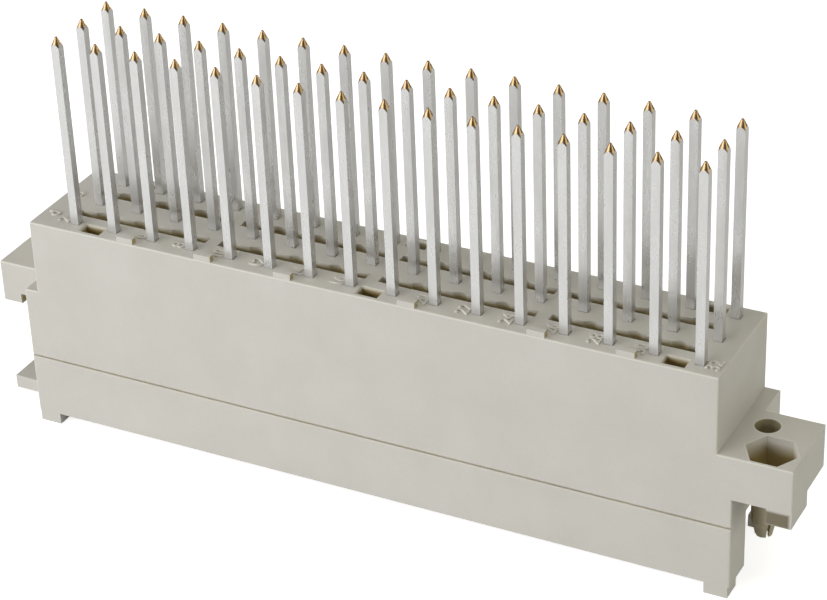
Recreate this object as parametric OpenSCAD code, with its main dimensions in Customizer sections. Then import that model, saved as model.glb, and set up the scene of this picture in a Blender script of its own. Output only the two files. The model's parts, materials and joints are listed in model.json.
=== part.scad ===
// Three-row backplane connector, female side, with wire-wrap posts.
// Millimetres. The row of contacts runs along X, the mating face looks down
// and the posts stand up along +Z. The origin is at the middle of the feet.

/* [Contact field] */
// Contacts in each of the three rows
columns = 16; // [8:4:16]
// Distance between neighbouring contacts, along the row and across the rows
pitch = 5.08; // [5:0.01:5.2]

/* [Posts] */
// Side of the square wire-wrap post
post_w = 1; // [0.8:0.05:1.1]
// Height of the post above the top face
post_h = 23.3; // [12:0.1:28]
// Half angle of the turned point
tip_angle = 26; // [18:1:35]
// Radius of the rounded end of the point
tip_r = 0.17; // [0.1:0.01:0.25]

/* [Housing] */
// Depth of the housing, front to back
body_d = 14.4; // [14.2:0.1:16]
// Height of the top face above the feet
housing_h = 27.25; // [25:0.05:30]
// Height of the ledges and of the flange tops
ledge_z = 18; // [17:0.1:19]
// Width of the ledge at each end
ledge_w = 1.78; // [1.4:0.02:2.2]
// Height of the seam between the two mouldings
seam_z = 9.2; // [8.5:0.1:10]
// Rounding of the outer edges
edge_r = 0.2; // [0.1:0.05:0.3]

/* [Flanges] */
// How far each flange reaches past the ledge
flange_l = 6.58; // [6:0.02:8]
// Thickness of the flange
flange_t = 5.34; // [4.8:0.02:5.6]
// Distance between the two pegs
peg_span = 90; // [89.5:0.1:90.5]
// Diameter of the hollow peg
peg_d = 2.9; // [2.8:0.1:3.2]
// Diameter of the bore above the peg
peg_bore_d = 2.8; // [2.4:0.1:3]
// Width across the flats of the nut pocket
nut_af = 5.1; // [5:0.05:5.2]
// Diameter of the screw hole under the nut
screw_d = 2.7; // [2.6:0.1:3]

/* [Mating moulding] */
// Height of the four feet
foot_h = 1.3; // [0.8:0.1:1.4]
// Length of the polarising tongue past the end of the moulding
tongue_l = 6.4; // [4:0.1:6.6]

/* [Hidden] */
$fn = 48;
eps = 0.01;
rows = ["d", "b", "z"];
housing_colour = "#cbc8be";
contact_colour = "#b9b9b6";

// The field of contacts has one pitch of housing to its left and half to its right,
// and a little more at both ends.
body_margin = 0.18;
body_l = (columns + 0.5) * pitch + 2 * body_margin;
base_l = body_l + 2 * ledge_w;
overall_l = base_l + 2 * flange_l;
first_x = -body_l / 2 + body_margin + pitch;
last_x = first_x + (columns - 1) * pitch;
half_d = body_d / 2;

// Chambers that hold the springs, one for each contact
chamber_w = 2.8;
chamber_roof = 19.5;
post_play = 0.05;

// Recesses in the top face
slot_front = 0.9;
slot_back = 0.3;
slot_depth = 6;
slot_group = 4;
slot_lead = 2.75;
slot_tail = 0.78;
slot_first = 1.2;
slot_last = 1.25;
scallop_r = 1.2;
scallop_depth = 0.38;
scallop_place = 0.33;
pocket_places = [for (p = [1.5, 8.5, 15.5]) if (p < columns) p];
pocket_size = [2.4, 1.45];
pocket_rim = 0.2;
pocket_depth = 4;
pocket_wall = 0.5;
nib_places = [for (p = [2.5, 4.5, 6.5, 9.5, 12.5, 14.5]) if (p < columns) p];
nib_size = [2.1, 0.85, 0.68];

// Flange details, given for the right-hand flange
flange_z = ledge_z - flange_t;
flange_far_y = 2.8;
nut_y = -4.3;
nut_from_ledge = 3.2;
nut_x = base_l / 2 + nut_from_ledge;
nut_depth = 3.6;
skirt_h = 1.8;
skirt_front_w = 2.8;
skirt_front_t = 0.7;
skirt_end_t = 1.4;
skirt_end_d = 4.8;
relief_h = 1.35;
relief_l = 4;
peg_shoulder_z = 6.2;
peg_neck_z = 5.5;
peg_neck_d = 2.4;
peg_tip_z = 4.3;
peg_tip_d = 1.9;
peg_slit_w = 0.35;
peg_slit_z = 7.4;
peg_tip_bore_d = 1.2;
peg_web = 1.2;

// Mating moulding
seam_gap = 0.25;
seam_depth = 0.4;
end_pillar_y = -2.7;
end_wall_right = body_l / 2 - 0.6;
end_wall_left = -body_l / 2 + 1.2;
lead_in_l = 1.8;
lead_in_h = 2.3;
back_wall_t = 1;
foot_size = [2.9, 2.6];
mating_floor = 1.7;
entry_mouth = [3, 2.4];
entry_throat = [2.2, 1.5];
entry_taper = 0.9;
tongue_z = [0.3, 2];
tongue_half_w = 2.7;
spigot_d = 1.6;
spigot_h = 2;
spigot_from_end = 1.4;
spigot_from_front = 2.2;

// Contact
anchor_h = 2;
anchor_d = 2;
spring_w = 2;
spring_t = 0.4;
spring_pinch_z = 5.4;
spring_tip_z = 3.8;
spring_pinch_y = 0.25;
spring_tip_y = 0.7;

function column_x(place) = first_x + (place - 1) * pitch;
function row_y(row) = (row - 1) * pitch;
function two_digits(n) = n < 10 ? str("0", n) : str(n);
function contact_name(row, column) = str("contact_", rows[row], two_digits(2 * column));

CONTACTS = [for (row = [0:2], column = [1:columns]) contact_name(row, column)];

// Plain box between two opposite corners
module block(low, high) {
    translate(low)
        cube(high - low);
}

// Rectangle between two opposite corners, with round corners
module soft_rectangle(low, high, r) {
    translate([low.x + r, low.y])
        square([high.x - low.x - 2 * r, high.y - low.y]);
    translate([low.x, low.y + r])
        square([high.x - low.x, high.y - low.y - 2 * r]);
    for (x = [low.x + r, high.x - r], y = [low.y + r, high.y - r])
        translate([x, y])
            circle(r);
}

// Box with all of its edges rounded, as the meeting of its three profiles
module soft_block(low, high, r = edge_r) {
    intersection() {
        translate([0, 0, low.z])
            linear_extrude(high.z - low.z)
                soft_rectangle([low.x, low.y], [high.x, high.y], r);
        translate([0, high.y, 0])
            rotate([90, 0, 0])
                linear_extrude(high.y - low.y)
                    soft_rectangle([low.x, low.z], [high.x, high.z], r);
        translate([low.x, 0, 0])
            rotate([90, 0, 90])
                linear_extrude(high.x - low.x)
                    soft_rectangle([low.y, low.z], [high.y, high.z], r);
    }
}

// Symmetric trapezium, from width "bottom" at height 0 to width "top" at height h
module trapezium(bottom, top, h) {
    polygon([[-bottom / 2, 0], [bottom / 2, 0], [top / 2, h], [-top / 2, h]]);
}

// Tapered rectangular hole from size "bottom" at z = 0 to size "top" at z = h
module taper(bottom, top, h) {
    reach = max(bottom.x, bottom.y, top.x, top.y) + 1;
    intersection() {
        rotate([90, 0, 0])
            linear_extrude(reach, center = true)
                trapezium(bottom.x, top.x, h);
        rotate([90, 0, 90])
            linear_extrude(reach, center = true)
                trapezium(bottom.y, top.y, h);
    }
}

// Its children at every contact place of the field
module at_contacts() {
    for (row = [0:2], column = [1:columns])
        translate([column_x(column), row_y(row), 0])
            children();
}

// Its children as the right-hand end has them, and turned half round for the left
module at_both_ends() {
    children();
    rotate(180)
        children();
}

// Long recess between two rows, with a shallow scallop beside each contact but the last
module top_slot(group, y) {
    first = (group - 1) * slot_group + 1;
    last = first + slot_group - 1;
    x0 = max(column_x(first) - slot_lead, first_x - slot_first);
    x1 = min(column_x(last) + slot_tail, last_x - slot_last);
    z0 = housing_h - slot_depth;
    block([x0, y - slot_front, z0], [x1, y + slot_back, housing_h + 1]);
    for (column = [first:last - 1])
        intersection() {
            translate([column_x(column + scallop_place), y + slot_back + scallop_depth - scallop_r, z0])
                cylinder(r = scallop_r, h = slot_depth + 1);
            block([x0, y, z0], [x1, y + slot_back + scallop_r, housing_h + 1]);
        }
}

// Small rectangular recess with a bevelled rim, close behind the front or back edge
module edge_pocket(place, side) {
    y = side * (half_d - pocket_wall - pocket_size.y / 2 - pocket_rim);
    rim = [pocket_size.x + 2 * pocket_rim, pocket_size.y + 2 * pocket_rim];
    translate([column_x(place), y, housing_h - pocket_depth]) {
        linear_extrude(pocket_depth)
            square(pocket_size, center = true);
        translate([0, 0, pocket_depth - pocket_rim])
            taper(pocket_size, rim, pocket_rim + eps);
    }
}

// Raised nib along the front edge of the top face
module edge_nib(place) {
    x = column_x(place);
    block([x - nib_size.x / 2, -half_d + edge_r / 2, housing_h - edge_r],
          [x + nib_size.x / 2, -half_d + nib_size.y, housing_h + nib_size.z]);
}

// Screw flange with its skirt and its hollow peg, before the holes
module flange() {
    x0 = base_l / 2 - 1;
    x1 = overall_l / 2;
    soft_block([x0, -half_d, flange_z], [x1, flange_far_y, ledge_z]);
    block([x1 - skirt_end_t, -half_d, flange_z - skirt_h],
          [x1, -half_d + skirt_end_d, flange_z + edge_r]);
    block([x1 - skirt_front_w, -half_d, flange_z - skirt_h],
          [x1, -half_d + skirt_front_t, flange_z + edge_r]);
    translate([peg_span / 2, 0, 0])
        rotate_extrude()
            polygon([[0, peg_tip_z], [peg_tip_d / 2, peg_tip_z], [peg_neck_d / 2, peg_neck_z],
                     [peg_d / 2, peg_shoulder_z], [peg_d / 2, ledge_z - 1], [0, ledge_z - 1]]);
}

// Hollow of the flange's underside, round the peg
module flange_relief() {
    x0 = base_l / 2;
    difference() {
        block([x0, end_pillar_y, flange_z - eps],
              [x0 + relief_l, flange_far_y + 1, flange_z + relief_h]);
        translate([peg_span / 2, 0, 0])
            cylinder(d = peg_d, h = housing_h);
    }
}

// Holes of the flange: nut pocket over its screw hole, and the stepped bore with the slits of the peg
module flange_holes() {
    translate([nut_x, nut_y, 0]) {
        translate([0, 0, ledge_z - nut_depth])
            cylinder(r = nut_af / 2 / cos(30), h = nut_depth + 1, $fn = 6);
        cylinder(d = screw_d, h = ledge_z);
    }
    translate([peg_span / 2, 0, 0]) {
        translate([0, 0, flange_z + relief_h + peg_web])
            cylinder(d = peg_bore_d, h = ledge_z);
        cylinder(d = peg_tip_bore_d, h = ledge_z);
        for (turn = [45, 135])
            rotate(turn)
                block([-peg_d, -peg_slit_w / 2, 0], [peg_d, peg_slit_w / 2, peg_slit_z]);
    }
}

// Space at each end under the flange that takes the guide of the mating connector
module end_recess(z0, z1) {
    block([end_wall_right, end_pillar_y, z0], [overall_l, half_d - back_wall_t, z1]);
    block([-overall_l, end_pillar_y, z0], [end_wall_left, half_d - back_wall_t, z1]);
}

// Locating spigots on the seam face, inside the front pillars
module spigots(d, h) {
    for (side = [-1, 1])
        translate([side * (base_l / 2 - spigot_from_end), -half_d + spigot_from_front, seam_z - eps])
            cylinder(d = d, h = h + eps);
}

// Upper moulding: it holds the posts and carries the flanges
module upper_housing() {
    color(housing_colour)
        difference() {
            union() {
                soft_block([-body_l / 2, -half_d, ledge_z - 2], [body_l / 2, half_d, housing_h]);
                difference() {
                    soft_block([-base_l / 2, -half_d, seam_z - 1], [base_l / 2, half_d, ledge_z]);
                    block([-overall_l, -body_d, 0], [overall_l, body_d, seam_z]);
                    end_recess(seam_z - 1, flange_z);
                }
                at_both_ends()
                    difference() {
                        flange();
                        flange_relief();
                    }
                for (place = nib_places)
                    edge_nib(place);
            }
            at_both_ends()
                flange_holes();
            for (group = [1:columns / slot_group], y = [-pitch / 2, pitch / 2])
                top_slot(group, y);
            for (place = pocket_places, side = [-1, 1])
                edge_pocket(place, side);
            at_contacts() {
                block([-chamber_w / 2, -chamber_w / 2, seam_z - 1],
                      [chamber_w / 2, chamber_w / 2, chamber_roof]);
                hole = post_w / 2 + post_play;
                block([-hole, -hole, chamber_roof - eps], [hole, hole, housing_h + 1]);
            }
            spigots(spigot_d, spigot_h);
        }
}

// Lower moulding: the mating face with its 48 entries, the feet and the polarising tongue
module mating_moulding() {
    color(housing_colour)
        difference() {
            union() {
                difference() {
                    soft_block([-base_l / 2, -half_d, foot_h], [base_l / 2, half_d, seam_z + 1]);
                    block([-overall_l, -body_d, seam_z], [overall_l, body_d, housing_h]);
                    end_recess(0, housing_h);
                    lead_in();
                    seam_rebate();
                }
                for (x = [-1, 1], y = [-1, 1])
                    scale([x, y, 1])
                        foot(y > 0 ? back_wall_t : foot_size.y);
                block([-base_l / 2 - tongue_l, -tongue_half_w, tongue_z[0]],
                      [end_wall_left + 1, tongue_half_w, tongue_z[1]]);
                spigots(spigot_d, spigot_h);
            }
            at_contacts() {
                block([-chamber_w / 2, -chamber_w / 2, foot_h + mating_floor],
                      [chamber_w / 2, chamber_w / 2, seam_z + 1]);
                translate([0, 0, foot_h - eps])
                    linear_extrude(mating_floor + 1)
                        square(entry_throat, center = true);
                translate([0, 0, foot_h - eps])
                    taper(entry_mouth, entry_throat, entry_taper);
            }
        }
}

// Foot under one corner of the mating moulding
module foot(d) {
    block([base_l / 2 - foot_size.x, half_d - d, 0],
          [base_l / 2 - edge_r, half_d, foot_h + edge_r]);
}

// Narrow step along the front and back of the mating moulding's top, which shows as the seam
module seam_rebate() {
    difference() {
        block([-overall_l, -body_d, seam_z - seam_gap], [overall_l, body_d, seam_z + 1]);
        block([-overall_l, -half_d + seam_depth, 0], [overall_l, half_d - seam_depth, housing_h]);
    }
}

// Bevel under the end wall opposite the tongue
module lead_in() {
    translate([0, body_d, 0])
        rotate([90, 0, 0])
            linear_extrude(body_d - end_pillar_y)
                polygon([[end_wall_right - lead_in_l, foot_h - eps], [end_wall_right + eps, foot_h - eps],
                         [end_wall_right + eps, foot_h + lead_in_h]]);
}

// Half of the spring pair, as a strip seen along the row
module spring_strip() {
    inner = anchor_d / 2 - spring_t;
    top = chamber_roof - anchor_h + eps;
    polygon([[inner, top], [inner, seam_z], [spring_pinch_y, spring_pinch_z],
             [spring_tip_y, spring_tip_z], [spring_tip_y + spring_t, spring_tip_z],
             [spring_pinch_y + spring_t, spring_pinch_z], [inner + spring_t, seam_z],
             [inner + spring_t, top]]);
}

// Half profile of the turned point: a cone that runs into a round end
module point_profile(top) {
    apex = top - tip_r + tip_r / sin(tip_angle);
    touch = [tip_r * cos(tip_angle), top - tip_r + tip_r * sin(tip_angle)];
    polygon([[0, 0], [post_w, 0], [post_w, apex - post_w / tan(tip_angle)], touch, [0, touch.y]]);
    intersection() {
        translate([0, top - tip_r])
            circle(tip_r);
        square([post_w, top]);
    }
}

// One contact: pointed post, anchor pressed in under the roof of its chamber, pair of springs
module contact(row, column) {
    top = housing_h + post_h;
    color(contact_colour)
        translate([column_x(column), row_y(row), 0]) {
            intersection() {
                block([-post_w / 2, -post_w / 2, chamber_roof - eps], [post_w / 2, post_w / 2, top]);
                rotate_extrude()
                    point_profile(top);
            }
            block([-chamber_w / 2, -anchor_d / 2, chamber_roof - anchor_h],
                  [chamber_w / 2, anchor_d / 2, chamber_roof]);
            for (side = [0, 1])
                mirror([0, side, 0])
                    translate([-spring_w / 2, 0, 0])
                        rotate([90, 0, 90])
                            linear_extrude(spring_w)
                                spring_strip();
        }
}

upper_housing();
mating_moulding();
for (row = [0:2], column = [1:columns])
    contact(row, column);
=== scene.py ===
# %% [markdown]
# # A backplane connector with wire-wrap posts
#
# The object is the female half of a long board connector. Two pale mouldings are
# closed over 48 contacts, and each contact ends in a tall square post with a turned
# point. The solids come ready made from the frame, so this lesson is about looking:
# the camera, the finishes, the raised numbers, and the light of a product picture.

# %% Tools and frame
import json
import math

import bpy
from mathutils import Matrix, Vector


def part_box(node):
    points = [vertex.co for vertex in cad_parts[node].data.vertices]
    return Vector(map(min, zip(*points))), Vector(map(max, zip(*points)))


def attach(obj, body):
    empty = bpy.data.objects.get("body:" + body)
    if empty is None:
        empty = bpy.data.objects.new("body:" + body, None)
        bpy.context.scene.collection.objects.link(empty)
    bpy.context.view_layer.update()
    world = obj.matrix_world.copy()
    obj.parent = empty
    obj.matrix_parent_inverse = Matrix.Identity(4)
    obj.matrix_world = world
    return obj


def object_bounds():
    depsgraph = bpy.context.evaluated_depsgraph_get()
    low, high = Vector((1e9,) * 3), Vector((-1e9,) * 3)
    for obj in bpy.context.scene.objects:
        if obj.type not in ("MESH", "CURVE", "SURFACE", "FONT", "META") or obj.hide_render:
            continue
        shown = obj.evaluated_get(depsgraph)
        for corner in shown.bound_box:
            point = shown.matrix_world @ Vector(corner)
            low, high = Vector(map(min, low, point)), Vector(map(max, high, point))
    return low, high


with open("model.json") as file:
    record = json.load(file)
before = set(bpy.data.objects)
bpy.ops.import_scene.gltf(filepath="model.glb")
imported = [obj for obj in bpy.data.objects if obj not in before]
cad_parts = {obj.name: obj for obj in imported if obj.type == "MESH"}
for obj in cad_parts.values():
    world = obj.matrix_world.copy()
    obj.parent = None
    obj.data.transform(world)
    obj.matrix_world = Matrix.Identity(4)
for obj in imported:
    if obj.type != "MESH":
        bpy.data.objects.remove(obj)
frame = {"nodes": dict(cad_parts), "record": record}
CAD_LOW, CAD_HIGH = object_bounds()
MM = 0.001
print("nodes:", len(frame["nodes"]), "box in mm:", (CAD_HIGH - CAD_LOW) / MM)

# %% [markdown]
# ## Where things are
#
# Every later step needs a few heights and places, and most of them can be read from the
# frame. The box of the solids gives the floor, the mounts give the top face and the
# bores of the pegs, and the top of a contact tells where its point is.

# %% Measures taken from the frame
FRONT_ROW, MIDDLE_ROW, BACK_ROW = "d", "b", "z"
COLUMNS = 16


def contact_name(row, column):
    return f"contact_{row}{2 * column:02d}"


def contact_centre(row, column):
    low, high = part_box(contact_name(row, column))
    return (low + high) / 2


POST_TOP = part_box(contact_name(FRONT_ROW, 1))[1].z
FEET_Z = CAD_LOW.z
MOUNTS = {mount["name"]: mount for mount in frame["record"]["mounts"]}
TOP_Z = MOUNTS["post_field"]["pos_m"][2]
PEG_BORES = MOUNTS["peg_bores"]["dims"]
print("feet, top face and post top in mm:", FEET_Z / MM, TOP_Z / MM, POST_TOP / MM)

# %% [markdown]
# ## The camera
#
# A product picture of this kind is taken with a long lens from the front, to the
# right and above. The view could be found by eye, but here the grid of 48 points is
# a ruler: a camera worked out from the points gives the angles below. Azimuth turns
# it to the right of the front, elevation lifts it, and a small roll tilts the frame.

# %% Camera
CAMERA_AZIMUTH = 28.06
CAMERA_ELEVATION = 30.35
CAMERA_ROLL = 2.38
CAMERA_DISTANCE = 289.5 * MM
CAMERA_TARGET = Vector((3.595, -0.07, 23.695)) * MM
LENS_MM = 114.4
SENSOR_MM = 36
NEAREST_SEEN = 10 * MM


def direction(azimuth, elevation):
    """Unit vector from the object towards a place given by its angles in degrees."""
    a, e = math.radians(azimuth), math.radians(elevation)
    return Vector((math.sin(a) * math.cos(e), -math.cos(a) * math.cos(e), math.sin(e)))


camera = bpy.data.objects.new("camera", bpy.data.cameras.new("camera"))
bpy.context.scene.collection.objects.link(camera)
towards_camera = direction(CAMERA_AZIMUTH, CAMERA_ELEVATION)
aim = (-towards_camera).to_track_quat("-Z", "Y").to_matrix().to_4x4()
roll = Matrix.Rotation(math.radians(-CAMERA_ROLL), 4, "Z")
place = Matrix.Translation(CAMERA_TARGET + towards_camera * CAMERA_DISTANCE)
camera.matrix_world = place @ aim @ roll
camera.data.lens = LENS_MM
camera.data.sensor_width = SENSOR_MM
camera.data.clip_start = NEAREST_SEEN
bpy.context.scene.camera = camera
print("camera at, mm:", camera.matrix_world.translation / MM)

# %% [markdown]
# ## A small kit for node materials
#
# All finishes are made of a few noise textures that are measured in object space, so
# their grain keeps its real size in millimetres. An image would need every solid to be
# unwrapped first. These helpers keep the recipes short: one starts a material, one adds
# a node, and one adds noise with a grain size.

# %% Nodes and noise
def new_material(name):
    material = bpy.data.materials.new(name)
    material.use_nodes = True
    tree = material.node_tree
    return material, tree, tree.nodes["Principled BSDF"]


def add(tree, kind, **settings):
    node = tree.nodes.new("ShaderNode" + kind)
    for key, value in settings.items():
        setattr(node, key, value)
    return node


def noise(tree, grain_mm, detail, stretch=(1, 1, 1)):
    """Noise whose grain is about grain_mm across; stretch draws it out along an axis."""
    coordinates = add(tree, "TexCoord")
    mapping = add(tree, "Mapping")
    mapping.inputs["Scale"].default_value = [1 / s for s in stretch]
    texture = add(tree, "TexNoise")
    texture.inputs["Scale"].default_value = 1 / (grain_mm * MM)
    texture.inputs["Detail"].default_value = detail
    tree.links.new(coordinates.outputs["Object"], mapping.inputs["Vector"])
    tree.links.new(mapping.outputs["Vector"], texture.inputs["Vector"])
    return texture.outputs["Fac"]


print("nodes and noise ready")

# %% Colours, sums and bumps
NOISE_LOW, NOISE_HIGH = 0.3, 0.7


def ramp(tree, value, low, high):
    """Turns noise into a colour or grey from low to high."""
    node = add(tree, "ValToRGB")
    node.color_ramp.elements[0].position = NOISE_LOW
    node.color_ramp.elements[1].position = NOISE_HIGH
    node.color_ramp.elements[0].color = low
    node.color_ramp.elements[1].color = high
    tree.links.new(value, node.inputs["Fac"])
    return node.outputs["Color"]


def grey(value):
    return (value, value, value, 1)


def math_node(tree, operation, a, b=0):
    node = add(tree, "Math", operation=operation)
    for socket, value in zip(node.inputs, (a, b)):
        if isinstance(value, (int, float)):
            socket.default_value = value
        else:
            tree.links.new(value, socket)
    return node.outputs[0]


def mix_colour(tree, factor, a, b, blend="MIX"):
    node = add(tree, "Mix", data_type="RGBA", blend_type=blend)
    for name, value in (("Factor_Float", factor), ("A_Color", a), ("B_Color", b)):
        socket = next(s for s in node.inputs if s.identifier == name)
        if isinstance(value, (int, float, tuple)):
            socket.default_value = value
        else:
            tree.links.new(value, socket)
    return next(s for s in node.outputs if s.identifier == "Result_Color")


def bump(tree, height, strength, depth_mm):
    node = add(tree, "Bump")
    node.inputs["Strength"].default_value = strength
    node.inputs["Distance"].default_value = depth_mm * MM
    tree.links.new(height, node.inputs["Height"])
    return node.outputs["Normal"]


print("colours, sums and bumps ready")

# %% [markdown]
# ## Painted shade in the recesses
#
# Light that falls into a slot, a pocket or a bore meets the beige walls many times, and
# a thin wall lets some of it through, so the insides lie in brown shade. A path tracer
# with few bounces shows too little of that, so the shade is painted into the colour:
# boxes mark the insides of the recesses, and the plastic takes a deeper painted shade
# the further down it is. The two ends are half-turn copies, so folding the coordinates
# lets one box serve both.

# %% Places on the part
def vector_node(tree, operation, a, b=None):
    node = add(tree, "VectorMath", operation=operation)
    tree.links.new(a, node.inputs[0])
    if b is not None:
        node.inputs[1].default_value = b
    return node.outputs[0]


def split(tree, vector):
    """The X, Y and Z of a vector, as sockets by name."""
    node = add(tree, "SeparateXYZ")
    tree.links.new(vector, node.inputs[0])
    return node.outputs


def part_place(tree):
    return add(tree, "TexCoord").outputs["Object"]


def folded_place(tree):
    """Place on the part, with the left-hand end turned half round onto the right."""
    apart = split(tree, part_place(tree))
    joined = add(tree, "CombineXYZ")
    side = math_node(tree, "SIGN", apart["X"])
    tree.links.new(math_node(tree, "ABSOLUTE", apart["X"]), joined.inputs["X"])
    tree.links.new(math_node(tree, "MULTIPLY", apart["Y"], side), joined.inputs["Y"])
    tree.links.new(apart["Z"], joined.inputs["Z"])
    return joined.outputs[0]


print("places ready")

# %% Boxes and depths
SHARP_MM = 0.01


def largest(tree, vector):
    apart = split(tree, vector)
    first_two = math_node(tree, "MAXIMUM", apart["X"], apart["Y"])
    return math_node(tree, "MAXIMUM", first_two, apart["Z"])


def fade(tree, value, start, end):
    """0 at start and before, 1 at end and after."""
    node = add(tree, "MapRange")
    node.inputs["From Min"].default_value = start
    node.inputs["From Max"].default_value = end
    tree.links.new(value, node.inputs["Value"])
    return node.outputs["Result"]


def inside_box(tree, place, box_mm, soft_mm=SHARP_MM):
    """1 inside the box, fading to 0 at its faces."""
    low, high = (Vector(corner) * MM for corner in box_mm)
    off_centre = vector_node(tree, "SUBTRACT", place, (low + high) / 2)
    off_centre = vector_node(tree, "ABSOLUTE", off_centre)
    outside = largest(tree, vector_node(tree, "SUBTRACT", off_centre, (high - low) / 2))
    return fade(tree, outside, 0, -soft_mm * MM)


def between_heights(tree, place, none_mm, full_mm):
    """0 at the height none_mm, 1 at the height full_mm."""
    return fade(tree, split(tree, place)["Z"], none_mm * MM, full_mm * MM)


print("boxes and depths ready")

# %% [markdown]
# ## A map of the recesses
#
# Each box is given by its low and its high corner, in millimetres from the middle of the
# part at the height of its feet. A recess's box ends just under the face that the recess
# opens in, so that face stays pale. The flanges' boxes are those of the right-hand end.
# The peg, the skirt and the right-hand sides of the nibs lie in shade, and their boxes get
# painted shade too. The seam and the lip under it get painted light instead, because so
# narrow a joint would render too dark. Masks painted on the mesh could do the same, but
# they would be lost whenever the solids are made again.

# %% Sizes for the boxes
HALF_LENGTH, HALF_DEPTH, TOP = CAD_HIGH.x / MM, CAD_HIGH.y / MM, TOP_Z / MM
FLANGE_TOP = 18.0
FLANGE_LOW = 12.8
FLANGE_START = 43.4
FIELD_END, FIELD_SIDE, FIELD_LOW = 41.7, 6.85, 15
POCKET_BACK = 4.75
NIB_END, NIB_BACK, NIB_TOP = 42, 6.25, 29
SEAM_END = 43.8
BORE_X, BORE_R = PEG_BORES["spacing_x_mm"] / 2, PEG_BORES["hole_r_mm"]
CLEAR = 0.05
UNDER_TOP, UNDER_FLANGE_TOP = TOP - CLEAR, FLANGE_TOP - CLEAR
print("boxes end under the top faces at, mm:", UNDER_TOP, UNDER_FLANGE_TOP)

# %% Boxes
TOP_RECESSES = (-FIELD_END, -FIELD_SIDE, FIELD_LOW), (FIELD_END, FIELD_SIDE, UNDER_TOP)
FRONT_POCKETS = (-FIELD_END, -FIELD_SIDE, FIELD_LOW), (FIELD_END, -POCKET_BACK, UNDER_TOP)
NIBS = (-NIB_END, -HALF_DEPTH - 0.1, TOP + 0.01), (NIB_END, -NIB_BACK, NIB_TOP)
FLANGE_HOLES = (FLANGE_START, -7.0, FLANGE_LOW), (HALF_LENGTH - 0.25, 2.6, UNDER_FLANGE_TOP)
BORE_WALL = BORE_R + CLEAR
BORE_MOUTH = (BORE_X - BORE_WALL, -BORE_WALL, FLANGE_LOW), (BORE_X + BORE_WALL, BORE_WALL, 17.9)
PEG_PRONGS = (FLANGE_START, -1.7, 3.9), (46.7, 1.7, 14)
SKIRT = (47.4, -HALF_DEPTH - 0.8, 10.7), (HALF_LENGTH - 0.1, -2.2, 12.7)
SEAM = (-SEAM_END, -HALF_DEPTH + 0.01, 8.7), (SEAM_END, HALF_DEPTH - 0.01, 9.7)
LIP_UNDER_SEAM = (-SEAM_END, -HALF_DEPTH - 0.1, 8.75), (SEAM_END, HALF_DEPTH + 0.1, 8.94)
print("bore's box, mm:", BORE_MOUTH)

# %% Painted shade and light in the recesses
# Painted shade in brown: slots and nut pockets, deeper with depth, and the nibs' right-hand sides.
PAINTED_SHADE_BROWN = (0.735, 0.63, 0.35, 1)
# Painted shade inside the front pockets, deeper with depth.
POCKET_PAINTED_SHADE = (0.82, 0.74, 0.52, 1)
# Painted shadow in the bore's mouth, darkest just under the rim, where the flange shades it.
BORE_PAINTED_SHADOW = (0.6, 0.56, 0.36, 1)
# Painted shade on the peg's prongs, which hang under the flange.
PEG_PAINTED_SHADE = (0.62, 0.56, 0.42, 1)
# Painted shadow on the skirt under each flange's overhang.
SKIRT_PAINTED_SHADOW = (0.315, 0.275, 0.195, 1)
# Painted light on the seam and on the lip under it, which would otherwise render too dark.
SEAM_PAINTED_LIGHT = (1.16, 1.15, 1.07, 1)
LIP_PAINTED_LIGHT = (1.09, 1.08, 1.06, 1)
SLOT_BROWN, POCKET_BROWN = TOP - 0.65, TOP - 0.6
NUT_PALE, NUT_BROWN = FLANGE_TOP - 0.6, FLANGE_TOP - 2.3
BORE_PALE, BORE_BROWN = FLANGE_TOP - 2.5, FLANGE_TOP - 0.3
SKIRT_SOFT = 0.35
FACING = 0.5


# Picks faces turned to +X; the nibs' right-hand sides, away from the main light, get painted shade.
def facing_right(tree):
    normal = split(tree, add(tree, "NewGeometry").outputs["True Normal"])
    return math_node(tree, "GREATER_THAN", normal["X"], FACING)


def painted_shade_and_light(tree, place, folded):
    """Masks of the recesses and the shaded faces, each with its painted shade; seam and lip get
    painted light.
    """
    deep_in_slots = between_heights(tree, place, TOP, SLOT_BROWN)
    deep_in_pockets = between_heights(tree, place, TOP, POCKET_BROWN)
    deep_in_nut = between_heights(tree, place, NUT_PALE, NUT_BROWN)
    near_bore_rim = between_heights(tree, place, BORE_PALE, BORE_BROWN)

    def both(box, at, mask):
        return math_node(tree, "MULTIPLY", inside_box(tree, at, box), mask)

    return [
        (both(TOP_RECESSES, place, deep_in_slots), PAINTED_SHADE_BROWN),
        (both(FRONT_POCKETS, place, deep_in_pockets), POCKET_PAINTED_SHADE),
        (both(FLANGE_HOLES, folded, deep_in_nut), PAINTED_SHADE_BROWN),
        (both(BORE_MOUTH, folded, near_bore_rim), BORE_PAINTED_SHADOW),
        (both(NIBS, place, facing_right(tree)), PAINTED_SHADE_BROWN),
        (inside_box(tree, folded, PEG_PRONGS), PEG_PAINTED_SHADE),
        (inside_box(tree, folded, SKIRT, SKIRT_SOFT), SKIRT_PAINTED_SHADOW),
        (inside_box(tree, place, SEAM), SEAM_PAINTED_LIGHT),
        (inside_box(tree, place, LIP_UNDER_SEAM), LIP_PAINTED_LIGHT),
    ]


print("slots are brown from, mm:", SLOT_BROWN, "and nut pockets from, mm:", NUT_BROWN)

# %% [markdown]
# ## Painted edge highlights
#
# Rounded edges catch the light, so a painted highlight makes them a touch lighter than the
# flat sides. The edges could be picked by hand, but the solids have those roundings, and a
# face that leans between two axes gives itself away by its normal. The holes in a flange
# have sharp rims, so a narrow painted highlight is measured round the bore and the nut pocket.

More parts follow.
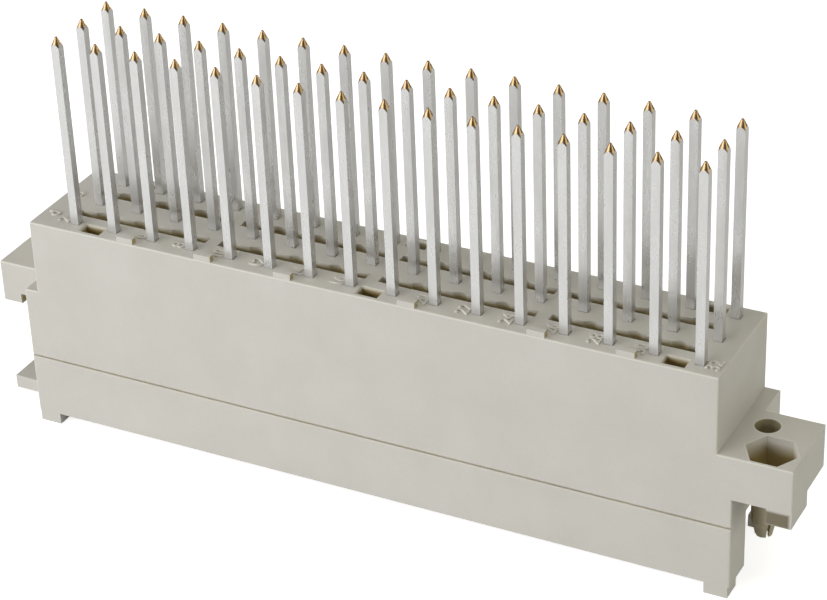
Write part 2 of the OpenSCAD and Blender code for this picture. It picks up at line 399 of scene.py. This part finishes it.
# %% Edges and rims
FLAT, LEANING = 0.995, 0.93
FLANGE_FACE = (43, -HALF_DEPTH, UNDER_FLANGE_TOP), (HALF_LENGTH + CLEAR, HALF_DEPTH, FLANGE_TOP + 0.1)
BORE_CENTRE = Vector((BORE_X, 0, FLANGE_TOP)) * MM
NUT_CENTRE = Vector((47.07, -4.3, FLANGE_TOP)) * MM
NUT_FLATS = 5.1
NUT_SIDES_AT = (30, 90, 150)
RIM_W = 0.14


def rounded_edges(tree):
    """1 on the narrow facets of rounded edges, 0 on the flat sides."""
    normal = add(tree, "NewGeometry").outputs["True Normal"]
    steepest = largest(tree, vector_node(tree, "ABSOLUTE", normal))
    return fade(tree, steepest, FLAT, LEANING)


def round_bore(tree, folded):
    """1 in the bore and on its rim, seen from above."""
    flat = vector_node(tree, "SUBTRACT", folded, BORE_CENTRE)
    flat = vector_node(tree, "MULTIPLY", flat, (1, 1, 0))
    length = add(tree, "VectorMath", operation="LENGTH")
    tree.links.new(flat, length.inputs[0])
    return math_node(tree, "LESS_THAN", length.outputs["Value"], (BORE_R + RIM_W) * MM)


def round_nut(tree, folded):
    """1 in the six-sided nut pocket and on its rim, seen from above."""
    from_nut = vector_node(tree, "SUBTRACT", folded, NUT_CENTRE)
    from_flats = 0.0
    for angle in map(math.radians, NUT_SIDES_AT):
        across = add(tree, "VectorMath", operation="DOT_PRODUCT")
        tree.links.new(from_nut, across.inputs[0])
        across.inputs[1].default_value = (math.cos(angle), math.sin(angle), 0)
        distance = math_node(tree, "ABSOLUTE", across.outputs["Value"])
        from_flats = math_node(tree, "MAXIMUM", distance, from_flats)
    return math_node(tree, "LESS_THAN", from_flats, (NUT_FLATS / 2 + RIM_W) * MM)


def painted_edge_highlights(tree, place, folded):
    """Where the painted highlight goes: rounded edges and hole rims, not the pocket bevels."""
    rims = math_node(tree, "MAXIMUM", round_bore(tree, folded), round_nut(tree, folded))
    rims = math_node(tree, "MULTIPLY", inside_box(tree, folded, FLANGE_FACE), rims)
    edges = math_node(tree, "MAXIMUM", rounded_edges(tree), rims)
    return math_node(tree, "SUBTRACT", edges, inside_box(tree, place, FRONT_POCKETS))


print("rims round bore and nut reach, mm:", BORE_R + RIM_W, NUT_FLATS / 2 + RIM_W)

# %% [markdown]
# ## The moulded plastic
#
# Both mouldings are taken as a glass-filled polyester, pale grey with a little beige, and
# matt with a faint skin. One flat colour would look like paint, so three grains are laid
# over each other: slow clouds from the flow of the melt, fine flecks from the filler,
# and a very fine bump for the spark-eroded skin of the mould.

# %% Plastic
PLASTIC_LIGHT = (0.635, 0.609, 0.553, 1)
PLASTIC_DARK = (0.60, 0.574, 0.518, 1)
# Colour of the painted highlight on rounded edges and hole rims.
PAINTED_EDGE_HIGHLIGHT = (0.69, 0.66, 0.59, 1)
FLECK_DARK, FLECK_LIGHT = grey(0.98), grey(1.01)
PLASTIC_SMOOTH, PLASTIC_ROUGH = grey(0.46), grey(0.6)
PLASTIC_GLOSS = 0.4
CLOUD_MM, FLECK_MM, SHEEN_MM, SKIN_MM = 7.0, 0.22, 4.0, 0.12
SKIN_STRENGTH, SKIN_DEPTH_MM = 0.15, 0.02


def moulded_plastic():
    material, tree, shader = new_material("moulded_plastic")
    clouds = ramp(tree, noise(tree, CLOUD_MM, detail=3), PLASTIC_DARK, PLASTIC_LIGHT)
    flecks = ramp(tree, noise(tree, FLECK_MM, detail=2), FLECK_DARK, FLECK_LIGHT)
    colour = mix_colour(tree, 1.0, clouds, flecks, "MULTIPLY")
    place, folded = part_place(tree), folded_place(tree)
    # Painted highlight on the rounded edges and the rims of the flange holes.
    colour = mix_colour(tree, painted_edge_highlights(tree, place, folded), colour, PAINTED_EDGE_HIGHLIGHT)
    # Painted shade is multiplied into the recesses and shaded faces, and painted light onto the seam
    # and lip.
    for tone, tint in painted_shade_and_light(tree, place, folded):
        colour = mix_colour(tree, tone, colour, tint, "MULTIPLY")
    tree.links.new(colour, shader.inputs["Base Color"])
    sheen = ramp(tree, noise(tree, SHEEN_MM, detail=4), PLASTIC_SMOOTH, PLASTIC_ROUGH)
    tree.links.new(sheen, shader.inputs["Roughness"])
    skin = bump(tree, noise(tree, SKIN_MM, detail=3), SKIN_STRENGTH, SKIN_DEPTH_MM)
    tree.links.new(skin, shader.inputs["Normal"])
    shader.inputs["Specular IOR Level"].default_value = PLASTIC_GLOSS
    return material


plastic = moulded_plastic()
print("made", plastic.name)

# %% [markdown]
# ## The contacts
#
# The posts look as if they were tinned first and pointed afterwards: the flanks are dull
# silver with fine lines along the post, and the turned point shows bare golden metal. Two
# materials would need the faces to be sorted, and the solids are left as they are. So one
# material does both: the point's faces lean, and they are the only leaning faces near the
# top, so the face normal and the height make the mask.

# %% Where a point is
POINT_REACH = 2 * MM
POINT_LEAN = 0.15


def point_mask(tree):
    """1 on the turned point of a post, 0 on its flanks and on the rest of the contact."""
    geometry = add(tree, "NewGeometry").outputs
    normal, position = split(tree, geometry["True Normal"]), split(tree, geometry["Position"])
    leaning = math_node(tree, "GREATER_THAN", normal["Z"], POINT_LEAN)
    high_up = math_node(tree, "GREATER_THAN", position["Z"], POST_TOP - POINT_REACH)
    return math_node(tree, "MULTIPLY", leaning, high_up)


print("points start at, mm:", (POST_TOP - POINT_REACH) / MM)

# %% Contact metal
TIN_LIGHT = (0.69, 0.686, 0.676, 1)
TIN_DARK = (0.62, 0.614, 0.602, 1)
TIN_DULL, TIN_BRIGHT = grey(0.34), grey(0.24)
TIN_SHINE, POINT_SHINE = grey(0.7), grey(1)
POINT_LIGHT = (0.36, 0.247, 0.132, 1)
POINT_DARK = (0.26, 0.168, 0.078, 1)
POINT_BRIGHT, POINT_DULL = grey(0.27), grey(0.33)
MOTTLE_MM, MOTTLE_STRETCH = 1.2, (1, 1, 4)
LINE_MM, LINE_STRETCH = 0.09, (1, 1, 60)
LINE_STRENGTH, LINE_DEPTH_MM = 0.028, 0.01


def contact_metal():
    material, tree, shader = new_material("contact_metal")
    mask = point_mask(tree)
    mottle = noise(tree, MOTTLE_MM, detail=4, stretch=MOTTLE_STRETCH)
    lines = noise(tree, LINE_MM, detail=2, stretch=LINE_STRETCH)
    tin = ramp(tree, mottle, TIN_DARK, TIN_LIGHT)
    golden = ramp(tree, lines, POINT_DARK, POINT_LIGHT)
    tree.links.new(mix_colour(tree, mask, tin, golden), shader.inputs["Base Color"])
    on_flanks = ramp(tree, mottle, TIN_DULL, TIN_BRIGHT)
    on_point = ramp(tree, lines, POINT_BRIGHT, POINT_DULL)
    tree.links.new(mix_colour(tree, mask, on_flanks, on_point), shader.inputs["Roughness"])
    tree.links.new(bump(tree, lines, LINE_STRENGTH, LINE_DEPTH_MM), shader.inputs["Normal"])
    shine = mix_colour(tree, mask, TIN_SHINE, POINT_SHINE)
    tree.links.new(shine, shader.inputs["Metallic"])
    return material


metal = contact_metal()
for name, node in frame["nodes"].items():
    node.data.materials.clear()
    node.data.materials.append(metal if name.startswith("contact_") else plastic)
print("dressed", len(frame["nodes"]), "nodes")

# %% [markdown]
# ## Numbers and row letters
#
# The mould leaves small raised characters on the top face: an even position number
# beside most front posts, turned to be read from the end, and a letter beside each
# row. Bump would vanish from the side, so they are real relief: a text object with a
# little thickness, turned into a mesh and sunk slightly into the top face.

# %% A raised character
CHARACTER_H = 1.5 * MM
CHARACTER_RELIEF = 0.17 * MM
CHARACTER_SINK = 0.03 * MM
CHARACTER_ROUND = 0.04 * MM
CHARACTER_SPACING = 0.9
CAPITAL_SHARE = 0.7
READ_FROM_END = math.radians(90)


def character_mesh(text, name):
    curve = bpy.data.curves.new(name, "FONT")
    curve.body = text
    curve.size = CHARACTER_H / CAPITAL_SHARE
    curve.align_x = "CENTER"
    curve.align_y = "CENTER"
    curve.space_character = CHARACTER_SPACING
    curve.extrude = (CHARACTER_RELIEF + CHARACTER_SINK) / 2 - CHARACTER_ROUND
    curve.bevel_depth = CHARACTER_ROUND
    curve.bevel_resolution = 1
    source = bpy.data.objects.new(name + "_text", curve)
    bpy.context.scene.collection.objects.link(source)
    bpy.context.view_layer.update()
    graph = bpy.context.evaluated_depsgraph_get()
    mesh = bpy.data.meshes.new_from_object(source.evaluated_get(graph))
    bpy.data.objects.remove(source)
    return mesh


def raised_character(text, name, x, y):
    mesh = character_mesh(text, name)
    mesh.transform(Matrix.Rotation(READ_FROM_END, 4, "Z"))
    middle_z = TOP_Z + (CHARACTER_RELIEF - CHARACTER_SINK) / 2
    mesh.transform(Matrix.Translation((x, y, middle_z)))
    mesh.materials.clear()
    mesh.materials.append(plastic)
    piece = bpy.data.objects.new(name, mesh)
    bpy.context.scene.collection.objects.link(piece)
    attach(piece, "root")


print("characters are raised, mm:", CHARACTER_RELIEF / MM)

# %% [markdown]
# ## Setting the characters
#
# A number stands to the left of its post. Three front posts have a pocket there: two of
# them go without a number, and the last one's stands on its right, by the end of the body.
# The letters stand at the left, a little behind their rows. All places are measured from
# the posts, so the characters stay beside them if the grid of the contacts changes.

# %% Characters in place
BESIDE_POST = 1.55 * MM
LETTER_FROM_POST = 3.55 * MM
LETTER_BEHIND_ROW = 0.8 * MM
NUMBERED = [1, 3, 4, 5, 6, 7, 8, 10, 11, 12, 13, 14, 15]
ROWS = (FRONT_ROW, MIDDLE_ROW, BACK_ROW)


def position_number(column, offset):
    post = contact_centre(FRONT_ROW, column)
    raised_character(f"{2 * column}", f"number_{2 * column:02d}", post.x + offset, post.y)


for column in NUMBERED:
    position_number(column, -BESIDE_POST)
position_number(COLUMNS, BESIDE_POST)
for row in ROWS:
    post = contact_centre(row, 1)
    at = (post.x - LETTER_FROM_POST, post.y + LETTER_BEHIND_ROW)
    raised_character(row, f"row_letter_{row}", *at)
print("raised characters:", len(NUMBERED) + 1 + len(ROWS))

# %% [markdown]
# ## The floor
#
# The picture is a plain packshot, white all round. A white room could be lit until it
# clips, but then the object would fade too. So the floor is a real pale floor that takes
# the shadow, and a little glow lifts it to white for the camera. The posts mirror the
# same floor in a dimmer tone, bright at the lit front and darker behind, as in a studio
# where black cloth hangs beyond the lamps.

# %% Floor
FLOOR_SIZE = 6.0
FLOOR_COLOUR = (0.8, 0.8, 0.8, 1)
FLOOR_GLOW = 0.75
MIRROR_GLOW_FRONT = 0.43
MIRROR_GLOW_BACK = 0.2
LIT_SIDE = (-0.47, -0.88, 0)
MIRROR_FADE = 40 * MM


def seen_straight(tree):
    """1 for what the camera sees straight or through glass, and 0 for light and mirrors."""
    path = add(tree, "LightPath").outputs
    return math_node(tree, "MAXIMUM", path["Is Camera Ray"], path["Is Transmission Ray"])


def floor_glow(tree):
    """White for the camera; for mirrors it fades from the lit front left to the back right."""
    path = add(tree, "LightPath").outputs
    lit_side = add(tree, "VectorMath", operation="DOT_PRODUCT")
    tree.links.new(add(tree, "NewGeometry").outputs["Position"], lit_side.inputs[0])
    lit_side.inputs[1].default_value = LIT_SIDE
    along = fade(tree, lit_side.outputs["Value"], -MIRROR_FADE, MIRROR_FADE)
    mirrored = math_node(tree, "MULTIPLY", along, MIRROR_GLOW_FRONT - MIRROR_GLOW_BACK)
    mirrored = math_node(tree, "ADD", mirrored, MIRROR_GLOW_BACK)
    in_mirrors = math_node(tree, "MULTIPLY", mirrored, path["Is Glossy Ray"])
    straight = math_node(tree, "MULTIPLY", seen_straight(tree), FLOOR_GLOW)
    return math_node(tree, "MAXIMUM", in_mirrors, straight)


def white_floor():
    mesh = bpy.data.meshes.new("floor")
    half = FLOOR_SIZE / 2
    corners = [(-half, -half), (half, -half), (half, half), (-half, half)]
    mesh.from_pydata([(x, y, FEET_Z) for x, y in corners], [], [(0, 1, 2, 3)])
    floor = bpy.data.objects.new("floor", mesh)
    bpy.context.scene.collection.objects.link(floor)
    material, tree, shader = new_material("pale_floor")
    shader.inputs["Base Color"].default_value = FLOOR_COLOUR
    shader.inputs["Roughness"].default_value = 1
    shader.inputs["Specular IOR Level"].default_value = 0
    shader.inputs["Emission Color"].default_value = (1, 1, 1, 1)
    tree.links.new(floor_glow(tree), shader.inputs["Emission Strength"])
    mesh.materials.append(material)


white_floor()
print("floor at z, mm:", FEET_Z / MM)

# %% [markdown]
# ## The lamps
#
# The main light stands low at the front left, and weaker soft boxes at both sides, above
# and behind fill the rest. Each has a slight tint, cool at the front and the left, and
# warm elsewhere. One large lamp would be simpler, but then the front, the end face and
# the top could not each have their own tone.

# %% Soft lamps
LAMP_DISTANCE = 0.8
MAIN_DISTANCE = 0.6


def soft_lamp(name, angles, size, power, colour, distance=LAMP_DISTANCE):
    """Area lamp at an azimuth and elevation in degrees, turned towards the object."""
    light = bpy.data.lights.new(name, "AREA")
    light.shape = "RECTANGLE"
    light.size, light.size_y = size
    light.energy = power
    light.color = colour
    lamp = bpy.data.objects.new(name, light)
    bpy.context.scene.collection.objects.link(lamp)
    towards = direction(*angles)
    lamp.location = CAMERA_TARGET + towards * distance
    lamp.rotation_euler = (-towards).to_track_quat("-Z", "Y").to_euler()


soft_lamp("front_softbox", angles=(-30, 17), size=(0.6, 0.2), power=2.7,
          colour=(0.965, 0.977, 1.0), distance=MAIN_DISTANCE)
soft_lamp("left_softbox", angles=(-80, 20), size=(0.5, 0.4), power=1.75, colour=(0.86, 0.89, 1.0))
soft_lamp("right_softbox", angles=(90, 15), size=(0.5, 0.4), power=1.75, colour=(1.0, 1.0, 0.91))
soft_lamp("top_softbox", angles=(0, 88), size=(0.8, 0.8), power=2.55, colour=(1.0, 0.99, 0.89))
soft_lamp("back_softbox", angles=(180, 7), size=(0.6, 0.16), power=2.6, colour=(1.0, 0.98, 0.93))

# %% [markdown]
# ## The world
#
# Beyond the floor the camera sees plain white. A white world could light the object as
# well, but then all its sides would be alike, so the world gives almost no light and
# leaves the tones to the lamps. The posts mirror it dim, like the back of the floor.

# %% World and view
WORLD_LIGHT = 0.01
WORLD_IN_MIRRORS = 0.17


def white_world():
    world = bpy.data.worlds.new("studio")
    bpy.context.scene.world = world
    world.use_nodes = True
    tree = world.node_tree
    background = tree.nodes["Background"]
    background.inputs["Color"].default_value = (1, 1, 1, 1)
    glossy = add(tree, "LightPath").outputs["Is Glossy Ray"]
    mirrored = math_node(tree, "MULTIPLY", glossy, WORLD_IN_MIRRORS)
    shown = math_node(tree, "MAXIMUM", seen_straight(tree), mirrored)
    strength = math_node(tree, "MAXIMUM", shown, WORLD_LIGHT)
    tree.links.new(strength, background.inputs["Strength"])


white_world()
bpy.context.scene.view_settings.view_transform = "Standard"
print("world:", bpy.context.scene.world.name)
